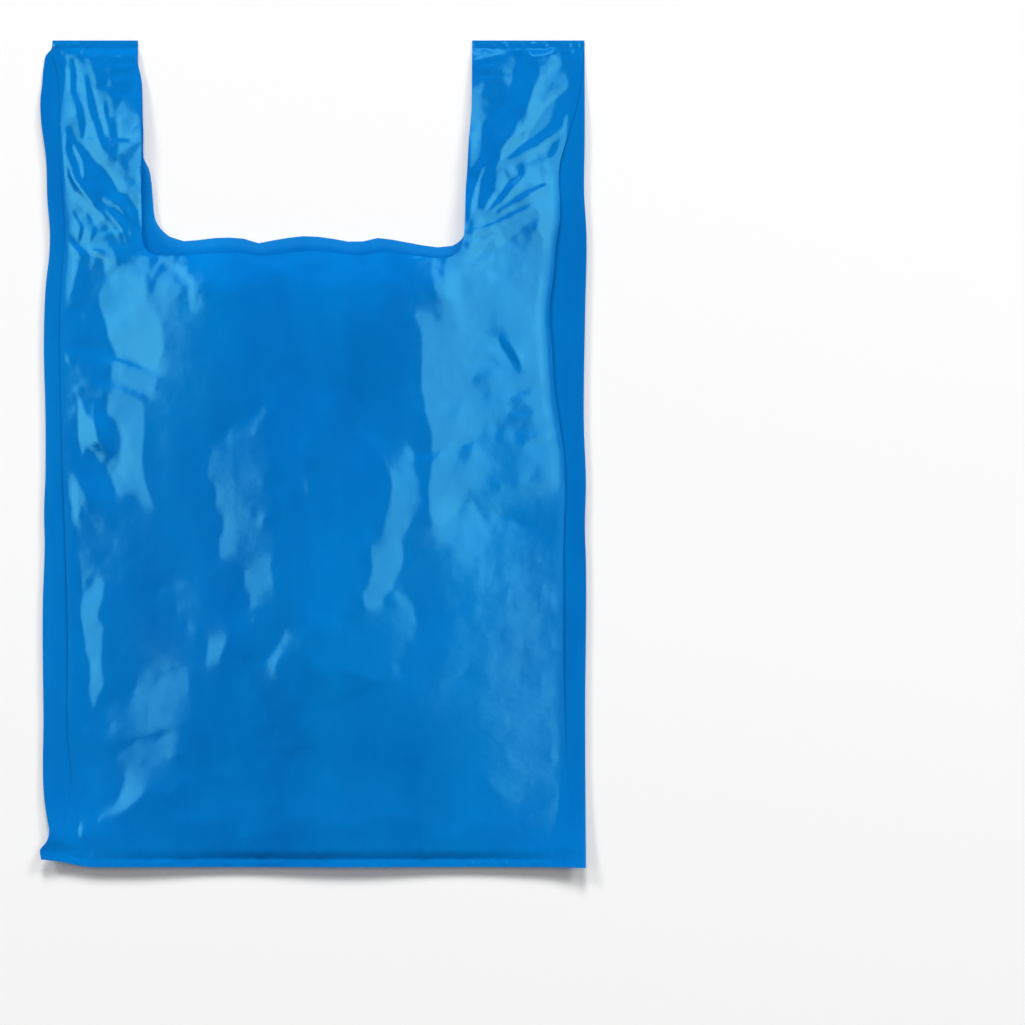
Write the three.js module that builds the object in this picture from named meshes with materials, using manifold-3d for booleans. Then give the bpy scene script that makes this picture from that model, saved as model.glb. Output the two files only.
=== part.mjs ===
// A plastic vest carrier bag, laid on its back panel with the mouth and handles towards +Y.
// It is one piece of blown film. The film tube is pleated into a gusset at each side, welded
// across both ends, and then punched through to leave a mouth between two loop handles.
// Millimetres, +Z up. The origin is under the middle of the laid bag, on the surface it lies on.
import * as THREE from "three";
import { mergeVertices } from "three/addons/utils/BufferGeometryUtils.js";
import Module from "manifold-3d";

// The bag's outline as it lies
const BAG_LENGTH = 505; // bottom weld to handle tops
const BACK_WIDTH = 334; // back panel between its side folds
const FRONT_INSET_LEFT = 12; // front panel's left fold, inside the back panel's
const FRONT_INSET_RIGHT = 20; // front panel's right fold, inside the back panel's
const GUSSET_DEPTH = 67; // side fold to the pleat's inner fold

// The punched mouth and handles
const HANDLE_LENGTH = 121; // handle top to the mouth's edge
const LEFT_HANDLE_WIDTH = 54; // at its weld
const RIGHT_HANDLE_WIDTH = 70; // at its weld
const FRONT_MOUTH_DROP = 8; // front panel's mouth edge, below the back panel's
const FRONT_HANDLE_TRIM = 5; // front strap's inner edge, back from the rear strap's, at the mouth

// Film, creases and welds. The film stands in for a real one of about 0.02 mm.
const FILM = 0.3; // wall
const CREASE_GAP = 0.6; // between the two films of a strap
const WELD_GAP = 0.15; // between films where they enter a weld
const WELD_LENGTH = 5; // fused strip at each end
const WELD_GROOVE = 0.35; // depth of the pressed line across a weld
const WELD_PROUD = 0.08; // weld face over the films that enter it

// How far the front panel stands over the back panel
const EDGE_LOFT = 3.2; // at its side folds
const HANDLE_LOFT = 8.5; // at its side folds, half way along the handles
const BODY_LOFT = 13; // over the middle
const MOUTH_LOFT = 3; // more at the mouth, which gapes
const BOTTOM_TAPER = 105; // length over which the loft dies away to the bottom weld
const HANDLE_TAPER = 62; // length over which a handle's loop closes to its weld
const CORNER_LIFT = 5.5; // how far the bottom left corner is drawn up the bag
const CORNER_REACH = 34; // how far in from the side that corner bends

// The mesh
const GUSSET_STEPS = 7; // columns across each side pleat, front film
const CENTRE_STEPS = 12; // columns between the pleats, front film
const BACK_GUSSET_STEPS = 3; // columns across each side pleat, back film
const BACK_CENTRE_STEPS = 3; // columns between the pleats, back film
const FOLD_STEPS = 3; // facets round each fold
const WELD_STEPS = 24; // columns along each weld
const BODY_STEP = 19; // row spacing over the body
const HANDLE_STEP = 8.5; // row spacing over the handles

// Side folds waver as the film lies: share of the length from the bottom, then how far in
const LEFT_WAVER = [
  [0, 0.6], [0.039, 5.5], [0.081, 3.1], [0.13, 1.2], [0.275, 0.6], [0.396, 2.4], [0.63, 2.8],
  [0.74, 5.8], [0.8, 5.5], [0.85, 3.7], [0.895, 0.9], [0.94, 0.9], [0.974, 2.1], [0.989, 4.3], [1, 6.1],
];
const RIGHT_WAVER = [
  [0, 1.2], [0.372, 1.8], [0.48, 0.9], [0.53, 2.1], [0.687, 1.8], [0.764, 0.3], [0.82, 2.1],
  [0.93, 2.8], [1, 2.4],
];
// The front panel's folds meet the back panel's at the welds: share of the length, share of inset
const LEFT_INSET_SHARE = [[0, 0.35], [0.06, 0.8], [0.3, 1.15], [0.75, 1.1], [0.93, 0.85], [0.99, 0.15], [1, 0]];
const RIGHT_INSET_SHARE = [[0, 0], [0.05, 0.5], [0.46, 0.75], [0.53, 0.75], [0.57, 1.05], [0.67, 1.15],
  [0.76, 0.85], [0.85, 0.85], [0.93, 0.3], [0.99, 0.05], [1, 0]];

// The mouth's punched edge: share of the way from the left handle to the right, then how deep
// it wavers past HANDLE_LENGTH.
const MOUTH_WAVER = [[0.14, 0.6], [0.22, -0.4], [0.31, -0.2], [0.36, 2.4], [0.43, 0.8], [0.51, -0.8],
  [0.59, 0.3], [0.66, 2.2], [0.715, 0], [0.79, 1.4], [0.88, 3.6], [0.94, 3.8]];
// The handles' inner edges: share of HANDLE_LENGTH down from the top, then how far they stand
// into the mouth.
const LEFT_HANDLE_EDGE = [[0.12, 0], [0.25, 1.8], [0.6, 3.1], [0.72, 6.7], [0.87, 9.2], [0.95, 15]];
const RIGHT_HANDLE_EDGE = [[0.94, 3.4], [0.8, 2.4], [0.3, 0.8], [0.1, 0]];

// Folds pressed into the front panel. side: -1 is measured in from the left fold and 1 from the
// right. Each point is [in from that fold, down from the handle tops]. rise is the crest's height,
// near and far are how far its two flanks spread, near being on the left of the run from first
// point to last.
const CREASES = [
  { name: "left handle slash", side: -1, run: [[12, 50], [28, 72], [48, 96]], rise: 3.4, near: 12, far: 17 },
  { name: "left handle lower slash", side: -1, run: [[16, 84], [40, 110], [56, 126]], rise: 2.2, near: 10, far: 14 },
  { name: "left handle pleat", side: -1, run: [[34, 12], [38, 50], [50, 82]], rise: 1.6, near: 9, far: 9 },
  { name: "left handle foot", side: -1, run: [[14, 112], [34, 128], [62, 130]], rise: 2.4, near: 12, far: 9 },
  { name: "left gusset step", side: -1, run: [[56, 140], [62, 210], [63, 290]], rise: 2.2, near: 10, far: 16 },
  { name: "left gusset buckle", side: -1, run: [[18, 200], [44, 212], [62, 208]], rise: 2.2, near: 10, far: 10 },
  { name: "left lower buckle", side: -1, run: [[20, 232], [30, 262], [26, 300]], rise: 1.8, near: 10, far: 10 },
  { name: "right handle slash", side: 1, run: [[6, 26], [32, 58], [62, 88]], rise: 3.2, near: 14, far: 12 },
  { name: "right handle lower slash", side: 1, run: [[8, 44], [34, 74], [60, 104]], rise: 2.4, near: 9, far: 9 },
  { name: "right handle foot", side: 1, run: [[24, 88], [52, 112], [82, 122]], rise: 2.6, near: 10, far: 12 },
  { name: "right gusset step", side: 1, run: [[70, 142], [84, 205], [80, 300]], rise: 2.6, near: 12, far: 14 },
  { name: "right buckle", side: 1, run: [[20, 236], [52, 240], [78, 250]], rise: 2, near: 12, far: 12 },
  { name: "centre fold", side: -1, run: [[108, 210], [138, 330], [142, 408]], rise: 2.6, near: 26, far: 30 },
  { name: "bottom corner fold", side: -1, run: [[34, 478], [62, 440], [84, 420]], rise: 2.2, near: 14, far: 18 },
];
const PUCKER_PITCH = 13; // gathers in the film beside a weld
const PUCKER_HEIGHT = 0.5;
const PUCKER_REACH = 16;

const halfWidth = BACK_WIDTH / 2;
const halfLength = BAG_LENGTH / 2;
const strapGap = FILM + CREASE_GAP; // middle of one film to the middle of its neighbour
const weldPitch = FILM + WELD_GAP;
const weldHeight = 4 * FILM + 3 * WELD_GAP + WELD_PROUD;
const leastLoft = 3 * FILM + 2 * CREASE_GAP + 0.4 * CREASE_GAP;

const { clamp, lerp, smoothstep } = THREE.MathUtils;

// A smooth curve through a table of [place, value] pairs, held level past its ends.
function curveThrough(table) {
  const places = table.map((pair) => pair[0]);
  const values = table.map((pair) => pair[1]);
  const cubic = new THREE.CubicInterpolant(places, values, 1, [0]);
  return (place) => cubic.evaluate(clamp(place, places[0], places.at(-1)))[0];
}

const leftWaver = curveThrough(LEFT_WAVER);
const rightWaver = curveThrough(RIGHT_WAVER);
const leftInsetShare = curveThrough(LEFT_INSET_SHARE);
const rightInsetShare = curveThrough(RIGHT_INSET_SHARE);

// The places of the folds at a height v above the bottom edge.
function foldsAt(v) {
  const share = v / BAG_LENGTH;
  const backLeft = leftWaver(share) - halfWidth;
  const backRight = halfWidth - rightWaver(share);
  const frontLeft = backLeft + FRONT_INSET_LEFT * leftInsetShare(share);
  const frontRight = backRight - FRONT_INSET_RIGHT * rightInsetShare(share);
  return {
    backLeft,
    backRight,
    frontLeft,
    frontRight,
    pleatLeft: backLeft + GUSSET_DEPTH,
    pleatRight: backRight - FRONT_INSET_RIGHT - GUSSET_DEPTH,
  };
}

// Height that one crease gives a point: a crest along its run, with straight flanks.
function creaseHeight(crease, x, v) {
  const edge = crease.side * halfWidth;
  const point = new THREE.Vector2(x, v);
  let best = 0;
  for (let i = 1; i < crease.run.length; i++) {
    const [from, to] = [crease.run[i - 1], crease.run[i]].map(
      ([inward, down]) => new THREE.Vector2(edge - crease.side * inward, BAG_LENGTH - down),
    );
    const along = to.clone().sub(from);
    const offset = point.clone().sub(from);
    const t = clamp(offset.dot(along) / along.lengthSq(), 0, 1);
    const away = offset.clone().addScaledVector(along, -t);
    const spread = along.cross(offset) > 0 ? crease.near : crease.far;
    const ends = (i === 1 ? smoothstep(t, 0, 0.5) : 1) * (i === crease.run.length - 1 ? smoothstep(1 - t, 0, 0.5) : 1);
    best = Math.max(best, ends * Math.max(0, 1 - away.length() / spread));
  }
  return crease.rise * best;
}

// 0 inside a weld and 1 well away from both.
function openness(v) {
  const fromBottom = smoothstep(v, WELD_LENGTH, BOTTOM_TAPER);
  const fromTop = smoothstep(BAG_LENGTH - v, WELD_LENGTH, HANDLE_TAPER);
  return Math.sqrt(fromBottom * fromTop);
}

function puckers(x, v) {
  const away = Math.min(v, BAG_LENGTH - v) - WELD_LENGTH;
  const fade = smoothstep(away, 0, 4) * (1 - smoothstep(away, 4, PUCKER_REACH));
  return PUCKER_HEIGHT * fade * (1 + Math.sin((2 * Math.PI * x) / PUCKER_PITCH));
}

// How far the middle of the front film stands over the middle of the back film.
function loftAt(x, v, folds) {
  const inward = Math.min(x - folds.frontLeft, folds.frontRight - x);
  const across = smoothstep(inward, 0, GUSSET_DEPTH * 1.1);
  const mouth = BAG_LENGTH - HANDLE_LENGTH;
  const gape = MOUTH_LOFT * smoothstep(v, mouth - 120, mouth) * smoothstep(BAG_LENGTH - v, 30, HANDLE_LENGTH);
  const handle = smoothstep(v, mouth - 50, mouth + HANDLE_LENGTH / 2);
  const pillow = lerp(lerp(EDGE_LOFT, HANDLE_LOFT, handle), BODY_LOFT + gape, across);
  const creases = CREASES.reduce((sum, crease) => sum + creaseHeight(crease, x, v), 0);
  const open = openness(v);
  const edge = smoothstep(inward, 0, 12);
  const welded = 3 * weldPitch;
  return lerp(welded, Math.max(leastLoft, pillow) + creases * edge, open) + puckers(x, v) * edge;
}

// The gap between the two films of one strap, which closes towards the welds.
function strapPitch(v) {
  const fromWeld = Math.min(v, BAG_LENGTH - v) - WELD_LENGTH;
  return lerp(weldPitch, strapGap, smoothstep(fromWeld, 0, 12));
}

// Evenly spaced places from a to b, ends included.
function spread(a, b, steps) {
  return Array.from({ length: steps + 1 }, (_, i) => lerp(a, b, i / steps));
}

// The rounded end of a fold between heights z0 and z1 at x, standing out by way (-1 or 1).
function foldRound(x, z0, z1, way) {
  const middle = (z0 + z1) / 2;
  const radius = (z0 - z1) / 2;
  const reach = Math.min(Math.abs(radius), 2 * strapGap);
  return Array.from({ length: FOLD_STEPS - 1 }, (_, i) => {
    const turn = Math.PI / 2 - (Math.PI * (i + 1)) / FOLD_STEPS;
    return new THREE.Vector2(x + way * reach * Math.cos(turn), middle + radius * Math.sin(turn));
  });
}

// The film's middle line round one section of the pleated tube, clockwise seen from the bottom
// weld, starting at the front panel's left fold.
function sectionAt(v) {
  const folds = foldsAt(v);
  const pitch = strapPitch(v);
  const back = () => FILM / 2;
  const backPleat = () => back() + pitch;
  const front = (x) => back() + loftAt(x, v, folds);
  const frontPleat = (x) => front(x) - pitch;
  const line = (places, height) => places.map((x) => new THREE.Vector2(x, height(x)));
  const left = spread(folds.frontLeft, folds.pleatLeft, GUSSET_STEPS);
  const centre = spread(folds.pleatLeft, folds.pleatRight, CENTRE_STEPS);
  const right = spread(folds.pleatRight, folds.frontRight, GUSSET_STEPS);
  const backRight = spread(folds.pleatRight, folds.backRight, BACK_GUSSET_STEPS);
  const backLeft = spread(folds.backLeft, folds.pleatLeft, BACK_GUSSET_STEPS);
  const backCentre = spread(folds.pleatRight, folds.pleatLeft, BACK_CENTRE_STEPS);
  return [
    ...line([...left, ...centre.slice(1), ...right.slice(1)], front),
    ...foldRound(folds.frontRight, front(folds.frontRight), frontPleat(folds.frontRight), 1),
    ...line(right.toReversed(), frontPleat),
    ...foldRound(folds.pleatRight, frontPleat(folds.pleatRight), backPleat(), -1),
    ...line(backRight, backPleat),
    ...foldRound(folds.backRight, backPleat(), back(), 1),
    ...line([...backRight.toReversed(), ...backCentre.slice(1), ...backLeft.toReversed().slice(1)], back),
    ...foldRound(folds.backLeft, back(), backPleat(), -1),
    ...line(backLeft, backPleat),
    ...foldRound(folds.pleatLeft, backPleat(), frontPleat(folds.pleatLeft), 1),
    ...line(left.toReversed(), frontPleat),
    ...foldRound(folds.frontLeft, frontPleat(folds.frontLeft), front(folds.frontLeft), -1),
  ];
}

// A closed line moved sideways by a distance, keeping its two faces parallel at the corners.
function offsetLine(line, distance) {
  return line.map((point, i) => {
    const before = point.clone().sub(line.at(i - 1)).normalize();
    const after = line[(i + 1) % line.length].clone().sub(point).normalize();
    const normal = new THREE.Vector2(-before.y - after.y, before.x + after.x).normalize();
    const square = normal.dot(new THREE.Vector2(-before.y, before.x));
    return point.clone().addScaledVector(normal, distance / Math.max(square, 0.5));
  });
}

// Flat bag to laid bag: the bottom left corner is drawn up the bag.
function lay(x, v, z) {
  const corner = 1 - smoothstep(x + halfWidth, 0, CORNER_REACH);
  const fade = 1 - smoothstep(v, 0, 8 * CORNER_LIFT);
  return new THREE.Vector3(x, v + CORNER_LIFT * corner * fade - halfLength, z);
}

// Joins matching rings of points into one closed skin. Rings of the outer face run one way and
// those of the inner face run back, so that the film is closed at both of its ends.
function skinOfRings(rings) {
  const around = rings[0].length;
  const index = [];
  rings.forEach((ring, i) => {
    const next = (i + 1) % rings.length;
    for (let j = 0; j < around; j++) {
      const k = (j + 1) % around;
      const [a, b, c, d] = [i * around + j, i * around + k, next * around + j, next * around + k];
      const climbs = (ring[k].x - ring[j].x) * (rings[next][j].y - ring[j].y) > 0;
      if (climbs) index.push(a, b, d, a, d, c);
      else index.push(a, b, c, b, d, c);
    }
  });
  const geometry = new THREE.BufferGeometry();
  geometry.setFromPoints(rings.flat());
  geometry.setIndex(index);
  return geometry;
}

// Rows of the tube, close together over the handles and beside the welds.
function rowHeights() {
  const start = WELD_LENGTH * 0.8;
  const end = BAG_LENGTH - WELD_LENGTH * 0.8;
  const mouth = BAG_LENGTH - HANDLE_LENGTH;
  const firstRows = [start, WELD_LENGTH + 2, WELD_LENGTH + 8];
  const lastRows = [BAG_LENGTH - WELD_LENGTH - 8, BAG_LENGTH - WELD_LENGTH - 2, end];
  const body = spread(firstRows.at(-1), mouth - 10, Math.round((mouth - 10 - firstRows.at(-1)) / BODY_STEP));
  const handles = spread(mouth - 10, lastRows[0], Math.round((lastRows[0] - mouth + 10) / HANDLE_STEP));
  return [...firstRows, ...body.slice(1), ...handles.slice(1), ...lastRows.slice(1)];
}

function pleatedTube() {
  const rows = rowHeights();
  const middles = rows.map(sectionAt);
  const face = (distance) =>
    middles.map((line, i) => offsetLine(line, distance).map((point) => lay(point.x, rows[i], point.y)));
  return skinOfRings([...face(FILM / 2), ...face(-FILM / 2).toReversed()]);
}

// The fused strip across one end of the tube, with the line that the welding bar pressed.
function weldStrip(v0, v1) {
  const groove = (v0 + v1) / 2;
  const halfGroove = 0.12 * WELD_LENGTH;
  const profile = [
    [v0, 0],
    [v1, 0],
    [v1, weldHeight],
    [groove + halfGroove, weldHeight],
    [groove, weldHeight - WELD_GROOVE],
    [groove - halfGroove, weldHeight],
    [v0, weldHeight],
  ];
  const rings = spread(0, 1, WELD_STEPS).map((share) =>
    profile.map(([v, z]) => {
      const folds = foldsAt(v);
      return lay(lerp(folds.backLeft - weldPitch, folds.backRight + weldPitch, share), v, z);
    }),
  );
  return cappedLoft(rings);
}

// A solid through matching rings, capped with a fan at each end.
function cappedLoft(rings) {
  const around = rings[0].length;
  const index = [];
  for (let i = 0; i + 1 < rings.length; i++)
    for (let j = 0; j < around; j++) {
      const k = (j + 1) % around;
      const [a, b, c, d] = [i * around + j, i * around + k, (i + 1) * around + j, (i + 1) * around + k];
      index.push(a, b, d, a, d, c);
    }
  const last = (rings.length - 1) * around;
  const outline = rings[0].map((point) => new THREE.Vector2(point.y, point.z));
  for (const [a, b, c] of THREE.ShapeUtils.triangulateShape(outline, [])) {
    index.push(a, c, b);
    index.push(last + a, last + b, last + c);
  }
  const geometry = new THREE.BufferGeometry();
  geometry.setFromPoints(rings.flat());
  geometry.setIndex(index);
  return geometry;
}

// The punch that leaves the mouth and the handles. drop takes its lower edge down, and trim its
// sides out at the mouth.
function punchOutline(drop, trim) {
  const top = foldsAt(BAG_LENGTH);
  const left = top.backLeft + LEFT_HANDLE_WIDTH;
  const right = top.backRight - RIGHT_HANDLE_WIDTH;
  const over = 20;
  const sideTrim = (down) => trim * smoothstep(down, 0.35, 0.7);
  const points = [
    ...LEFT_HANDLE_EDGE.map(([down, out]) => [left + out - sideTrim(down), down * (HANDLE_LENGTH + drop)]),
    ...MOUTH_WAVER.map(([share, deep]) => [lerp(left, right, share), HANDLE_LENGTH + drop + deep]),
    ...RIGHT_HANDLE_EDGE.map(([down, out]) => [right - out + sideTrim(down), down * (HANDLE_LENGTH + drop)]),
  ].map(([x, down]) => new THREE.Vector2(x, halfLength - down));
  const shape = new THREE.Shape();
  shape.moveTo(right, halfLength + over);
  shape.lineTo(left, halfLength + over);
  shape.lineTo(points[0].x, points[0].y);
  shape.splineThru(points.slice(1));
  shape.closePath();
  return shape;
}

function punch(drop, trim, from) {
  const height = BODY_LOFT * 3;
  const options = { depth: height, bevelEnabled: false, curveSegments: 3 };
  return new THREE.ExtrudeGeometry(punchOutline(drop, trim), options).translate(0, 0, from);
}

const wasm = await Module();
wasm.setup();

function solid(geometry) {
  const bare = geometry.index ? geometry.toNonIndexed() : geometry;
  bare.deleteAttribute("normal");
  bare.deleteAttribute("uv");
  const merged = mergeVertices(bare, 1e-4);
  return new wasm.Manifold(
    new wasm.Mesh({
      numProp: 3,
      vertProperties: merged.attributes.position.array,
      triVerts: new Uint32Array(merged.index.array),
    }),
  );
}

function geometryOf(manifold) {
  const mesh = manifold.getMesh();
  const geometry = new THREE.BufferGeometry();
  geometry.setAttribute("position", new THREE.BufferAttribute(mesh.vertProperties, mesh.numProp));
  geometry.setIndex(new THREE.BufferAttribute(mesh.triVerts, 1));
  geometry.computeVertexNormals();
  return geometry;
}

function carrierBag() {
  const welded = solid(pleatedTube())
    .add(solid(weldStrip(0, WELD_LENGTH)))
    .add(solid(weldStrip(BAG_LENGTH - WELD_LENGTH, BAG_LENGTH)));
  const betweenStraps = 2 * FILM + CREASE_GAP + 1;
  return welded
    .subtract(solid(punch(0, 0, -BODY_LOFT)))
    .subtract(solid(punch(FRONT_MOUTH_DROP, FRONT_HANDLE_TRIM, betweenStraps)));
}

const film = new THREE.MeshStandardMaterial({ color: 0x0072c6, roughness: 0.35, metalness: 0 });
const bag = new THREE.Mesh(geometryOf(carrierBag()), film);
bag.name = "carrier_bag";

const model = new THREE.Group();
model.add(bag);
export default model;
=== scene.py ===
"""Dresses the laid carrier bag: the creased film tube at full detail, its material, light and camera.

The bag lies on its back panel, with +X right, +Y towards the handles and +Z up. Lengths are in
millimetres until a mesh is made. Places read off the photograph are in its pixels.
"""
import math

import bmesh
import bpy
import numpy as np
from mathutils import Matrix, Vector
from mathutils.geometry import interpolate_bezier


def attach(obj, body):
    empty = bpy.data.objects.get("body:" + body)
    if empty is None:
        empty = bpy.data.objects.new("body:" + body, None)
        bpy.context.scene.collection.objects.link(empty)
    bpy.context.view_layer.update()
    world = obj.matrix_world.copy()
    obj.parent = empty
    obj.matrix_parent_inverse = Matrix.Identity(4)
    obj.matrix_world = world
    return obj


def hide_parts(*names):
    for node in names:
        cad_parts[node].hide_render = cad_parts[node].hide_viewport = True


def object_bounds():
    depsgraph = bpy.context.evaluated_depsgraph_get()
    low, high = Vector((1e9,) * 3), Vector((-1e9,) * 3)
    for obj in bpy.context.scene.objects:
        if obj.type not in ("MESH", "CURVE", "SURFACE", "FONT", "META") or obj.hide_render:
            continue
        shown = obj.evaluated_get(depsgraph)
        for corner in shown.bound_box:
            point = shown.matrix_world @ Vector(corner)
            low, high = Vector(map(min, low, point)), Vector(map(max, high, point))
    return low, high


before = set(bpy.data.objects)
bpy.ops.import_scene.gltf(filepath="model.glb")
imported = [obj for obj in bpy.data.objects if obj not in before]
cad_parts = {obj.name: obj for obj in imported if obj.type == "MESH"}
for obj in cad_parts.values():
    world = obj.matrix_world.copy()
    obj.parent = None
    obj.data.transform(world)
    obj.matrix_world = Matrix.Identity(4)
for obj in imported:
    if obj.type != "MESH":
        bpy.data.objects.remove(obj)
cad_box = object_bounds()

METRES = 0.001

# The photograph's frame: 1025 pixels across, over the bag's own middle
BAG_LENGTH = (cad_box[1][1] - cad_box[0][1]) / METRES
PHOTO_TOP, PHOTO_BOTTOM = 40.6, 866.0
PIXEL = BAG_LENGTH / (PHOTO_BOTTOM - PHOTO_TOP)
PHOTO_CENTRE = (314.0, (PHOTO_TOP + PHOTO_BOTTOM) / 2)
PHOTO_SIDE = 1025.0
PHOTO_MOUTH = 241.0

# Edges and folds of the bag, top to bottom
BACK_LEFT = [
    (52.6, 40.6), (51.4, 49), (46.5, 55), (44.2, 66), (42.3, 89), (41.5, 96), (42.3, 123), (45, 142),
    (47, 158), (48.4, 199), (51, 234), (50.6, 252), (47, 285), (45, 340), (46.5, 413), (46.5, 476),
    (45.2, 515), (45.8, 540), (44, 600), (44.6, 713), (45.8, 799), (49, 821), (51, 835), (47.8, 848),
    (42.7, 855), (43.5, 866),
]
BACK_RIGHT = [
    (584.5, 40.6), (584.5, 140), (584, 194), (586.2, 232), (585, 310), (583.7, 424), (585.7, 485),
    (584.7, 526), (585.7, 560), (585, 700), (585.5, 866),
]
FRONT_LEFT = [
    (52.9, 40.6), (53.5, 55), (58, 75), (60, 95), (60, 160), (64, 200), (66, 236), (63, 270), (61, 320),
    (62, 400), (64, 480), (67, 560), (69, 640), (69, 740), (72, 776), (67, 815), (58, 845), (49, 866),
]
FRONT_RIGHT = [
    (584.2, 40.6), (583, 60), (581, 79), (577.5, 102), (571, 126), (560, 163), (559.6, 221), (556, 245),
    (554, 270), (549, 321), (551, 342), (554, 388), (559, 424), (563, 450), (563, 560), (564, 700),
    (570, 800), (580, 850), (585.2, 866),
]
PLEAT_LEFT = [(140, 40.6), (140.5, 160), (141, 250), (146, 350), (150, 866)]
PLEAT_RIGHT = [(474, 40.6), (472, 140), (469, 250), (458, 340), (446, 600), (448, 866)]

# The punched mouth, anticlockwise from the top of the left handle's inner edge
REAR_MOUTH = [
    (138.3, -60), (138.1, 63), (141, 75.5), (142.5, 87), (143.3, 119), (144, 131), (144.4, 160),
    (149.3, 168), (152, 181), (153.6, 200), (155.5, 218), (160, 228), (167, 235), (175, 239.5),
    (183.4, 241.6), (192, 241.6), (211.6, 238.8), (242, 238.6), (257, 243.8), (274.5, 240.7),
    (298.4, 237), (311.4, 236.8), (324.4, 238), (341.7, 240.7), (357, 243), (376.4, 238.6),
    (385, 239), (411, 243.6), (428.5, 246.8), (441.5, 247.9), (452.4, 246.4), (461, 242.4),
    (465, 233), (465.5, 218), (466, 190), (467.4, 172), (469, 140), (470.3, 127), (472, 100), (472, -60),
]
FRONT_MOUTH = [
    (138.3, -60), (138.1, 63), (141, 75.5), (142.5, 87), (143.3, 119), (143.5, 150), (143, 189),
    (143.2, 225), (144.5, 243), (149, 252), (160, 256.5), (186, 257.5), (215, 255.5), (245, 255.8),
    (262, 258), (285, 255.5), (318, 253.5), (345, 256), (362, 257.5), (384, 254.5), (412, 257.5),
    (436, 260), (450, 259), (459, 253), (463.5, 242), (465, 228), (466, 190), (467.4, 172), (469, 140),
    (470.3, 127), (472, 100), (472, -60),
]

# The film and how it stands. A pair of distances is a range over which something comes in.
PITCH = 0.32  # from one film to the next where two lie together
WELD_PITCH = 0.12  # and in a weld
WELD = 4.6  # length of the fused strip at each end
WELD_PARTS = (0.6, 9.0)  # before and past a weld's inner edge, where its films part
REST_GAP = 0.05  # under the back film
EDGE_LOFT = 2.8  # front film over the back film at its side folds
HANDLE_EDGE_LOFT = 2.2
BODY_LOFT = 13.3  # and in the middle
MOUTH_LOFT = 1.8  # more at the mouth, which gapes
GAPE_REACH = 130.0  # how far below the mouth that begins
GAPE_SIDES = (10.0, 70.0)  # and how far in from the side folds it comes in
HANDLE_LOFT = 8.6  # half way along the handles
HANDLE_BLEND = (60.0, 65.0)  # below and above the mouth, where the body gives way to the handles
SIDE_RISE = 105.0  # width over which the film rises from a side fold
HANDLE_RISE = 34.0  # and in a handle
SLACK = 26.0  # width over which a handle sinks to its punched edge
SLACK_SHARE = 0.75  # of its loft that is left there
BOTTOM_TAPER = 150.0  # distance from the bottom edge at which the film has its full loft
HANDLE_TAPER = 62.0  # and from the handle tops
HANDLE_OPENS = 8.0  # how far before its weld's inner edge a handle begins to open
PLEAT_SHARE = 0.45  # height of the pleat's upper film, to the front film's
PLEAT_SINK = 14.0  # width over which it sinks to that
CORNER_LIFT = 5.0  # how far the bottom left corner is drawn up the bag
CORNER_REACH = 32.0  # how far in from the side that reaches
CORNER_RISE = 40.0  # and how far up
BOTTOM_CURL = 5.4  # how far the bottom weld stands off the surface
BOTTOM_REACH = 70.0
BOTTOM_WAVE = (0.15, 0.045, 0.6)  # share of that curl that waves along the weld, wave number, phase
SIDE_CURL = 3.4  # how far the sides of the back film stand off it
MOUTH_CURL = 3.0  # and its mouth
SIDE_REACH = 26.0
CURL_FADE = 60.0  # distance from the handle tops over which those curls come in

# The little pleats that run into a weld, and its crimped strip
GATHER_WIDTHS = (0.9, 3.6)
GATHERS = 260
GATHER_SEED = 9
PUCKER = (0.4, 0.5)  # height of the pleats beside the bottom weld and beside the handles' welds
PUCKER_RISE = 1.2  # distance from a weld over which they rise
PUCKER_REACH = 9.0  # and at which they have died away
CRIMP = 0.5  # height of the strip's crimping
CRIMP_STRETCH, CRIMP_SHIFT = 1.2, 31.0  # which is a closer, shifted run of the same pleats
CRIMP_OUTER = (0.8, 1.8)  # distances from the film's end over which it rises
CRIMP_INNER = (-1.2, 0.2)  # distances from the strip's inner edge over which it dies away

# The mesh
ROW_STEP = 1.95
HANDLE_ROW_STEP = 1.15
HANDLE_ROWS_START = 12.0  # how far below the mouth the closer rows start
END_ROWS = 8  # rows from a little inside a weld to its end
END_INSET = 1.5  # that little
FRONT_COLUMNS = 240
FRONT_CROWDING = 0.24  # how much closer the front film's columns stand at its sides
PLEAT_COLUMNS = 6
BACK_COLUMNS = 36
FOLD_COLUMNS = 2
FOLD_BULGE = 0.2  # how far a pressed fold stands out, to half its own height
FOLD_BULGE_TALLEST = 1.2  # the half height past which it stands out no further
FOLD_STEPS = (0.06, 0.45)  # distances from a fold of its nearest columns
CUT_MARGIN = 0.02  # nearest that a punched edge comes to the end of a mesh edge, as a share of it

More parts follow.
